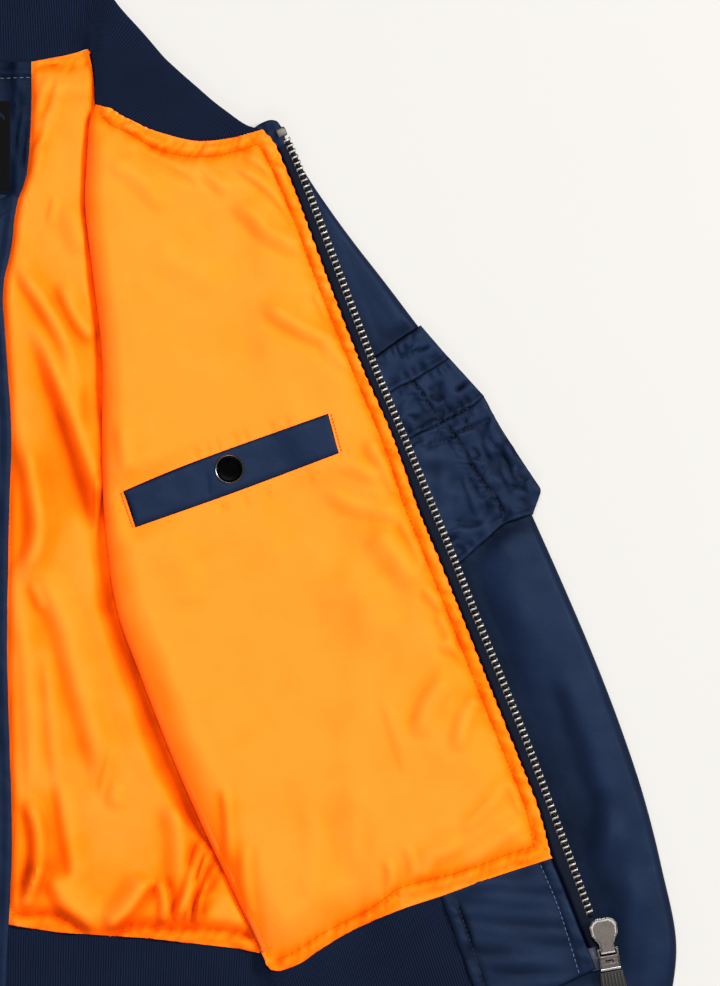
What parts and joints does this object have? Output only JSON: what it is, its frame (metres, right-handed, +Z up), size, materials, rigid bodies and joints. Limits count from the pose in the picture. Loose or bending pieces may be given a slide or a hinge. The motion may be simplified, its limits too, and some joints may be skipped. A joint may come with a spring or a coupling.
{
  "type": "bomber jacket",
  "caption": "Nylon flight bomber jacket laid flat on its back, its left front folded open over the sleeve to show satin lining, inner welt pocket and open front zip.",
  "frame": {"origin": "on the surface the jacket lies on, under the middle of the centre back", "axes": "+X to the wearer's left, +Y along the centre back toward the collar, +Z up from the surface"},
  "size_m": [0.945, 0.7772, 0.0184],
  "materials": {
    "nylon": "navy flight nylon, slight sheen",
    "satin": "orange satin-weave nylon lining",
    "rib": "navy knitted rib, matte",
    "label": "black woven label, bare",
    "tape": "dark woven zip tape, matte",
    "zip_metal": "antique silver",
    "pull_metal": "antique silver, dull",
    "pull_rubber": "ribbed dark rubber",
    "snap_metal": "antique silver",
    "snap_enamel": "gloss black"
  },
  "bodies": {
    "garment": {"back_shell": "nylon", "left_front_shell": "nylon", "right_front_shell": "nylon", "left_sleeve": "nylon", "right_sleeve": "nylon", "wind_flap": "nylon", "left_hem_placket": "nylon", "right_hem_placket": "nylon", "pen_band": "nylon", "utility_pocket_top": "nylon", "utility_pocket_body": "nylon", "inner_welt": "nylon", "back_neck_facing": "nylon", "back_lining": "satin", "left_front_lining": "satin", "collar_rib": "rib", "hem_rib": "rib", "left_cuff": "rib", "right_cuff": "rib", "neck_label": "label", "left_zip_tape": "tape", "right_zip_tape": "tape", "left_zip_teeth": "zip_metal", "right_zip_teeth": "zip_metal", "left_top_stop": "zip_metal", "right_top_stop": "zip_metal", "zip_retaining_box": "zip_metal", "zip_insertion_pin": "zip_metal", "zip_slider": "zip_metal", "snap_ring": "snap_metal", "snap_cap": "snap_enamel"},
    "zip_pull": {"pull_connector": "pull_metal", "pull_tab": "pull_rubber"}
  },
  "joints": [
    {"name": "pull_hinge", "type": "hinge", "parent": "garment", "child": "zip_pull", "pos_m": [0.42706, -0.25636, 0.01635], "axis": [-0.9848, -0.1736, 0], "range_deg": [0, 150]}
  ]
}
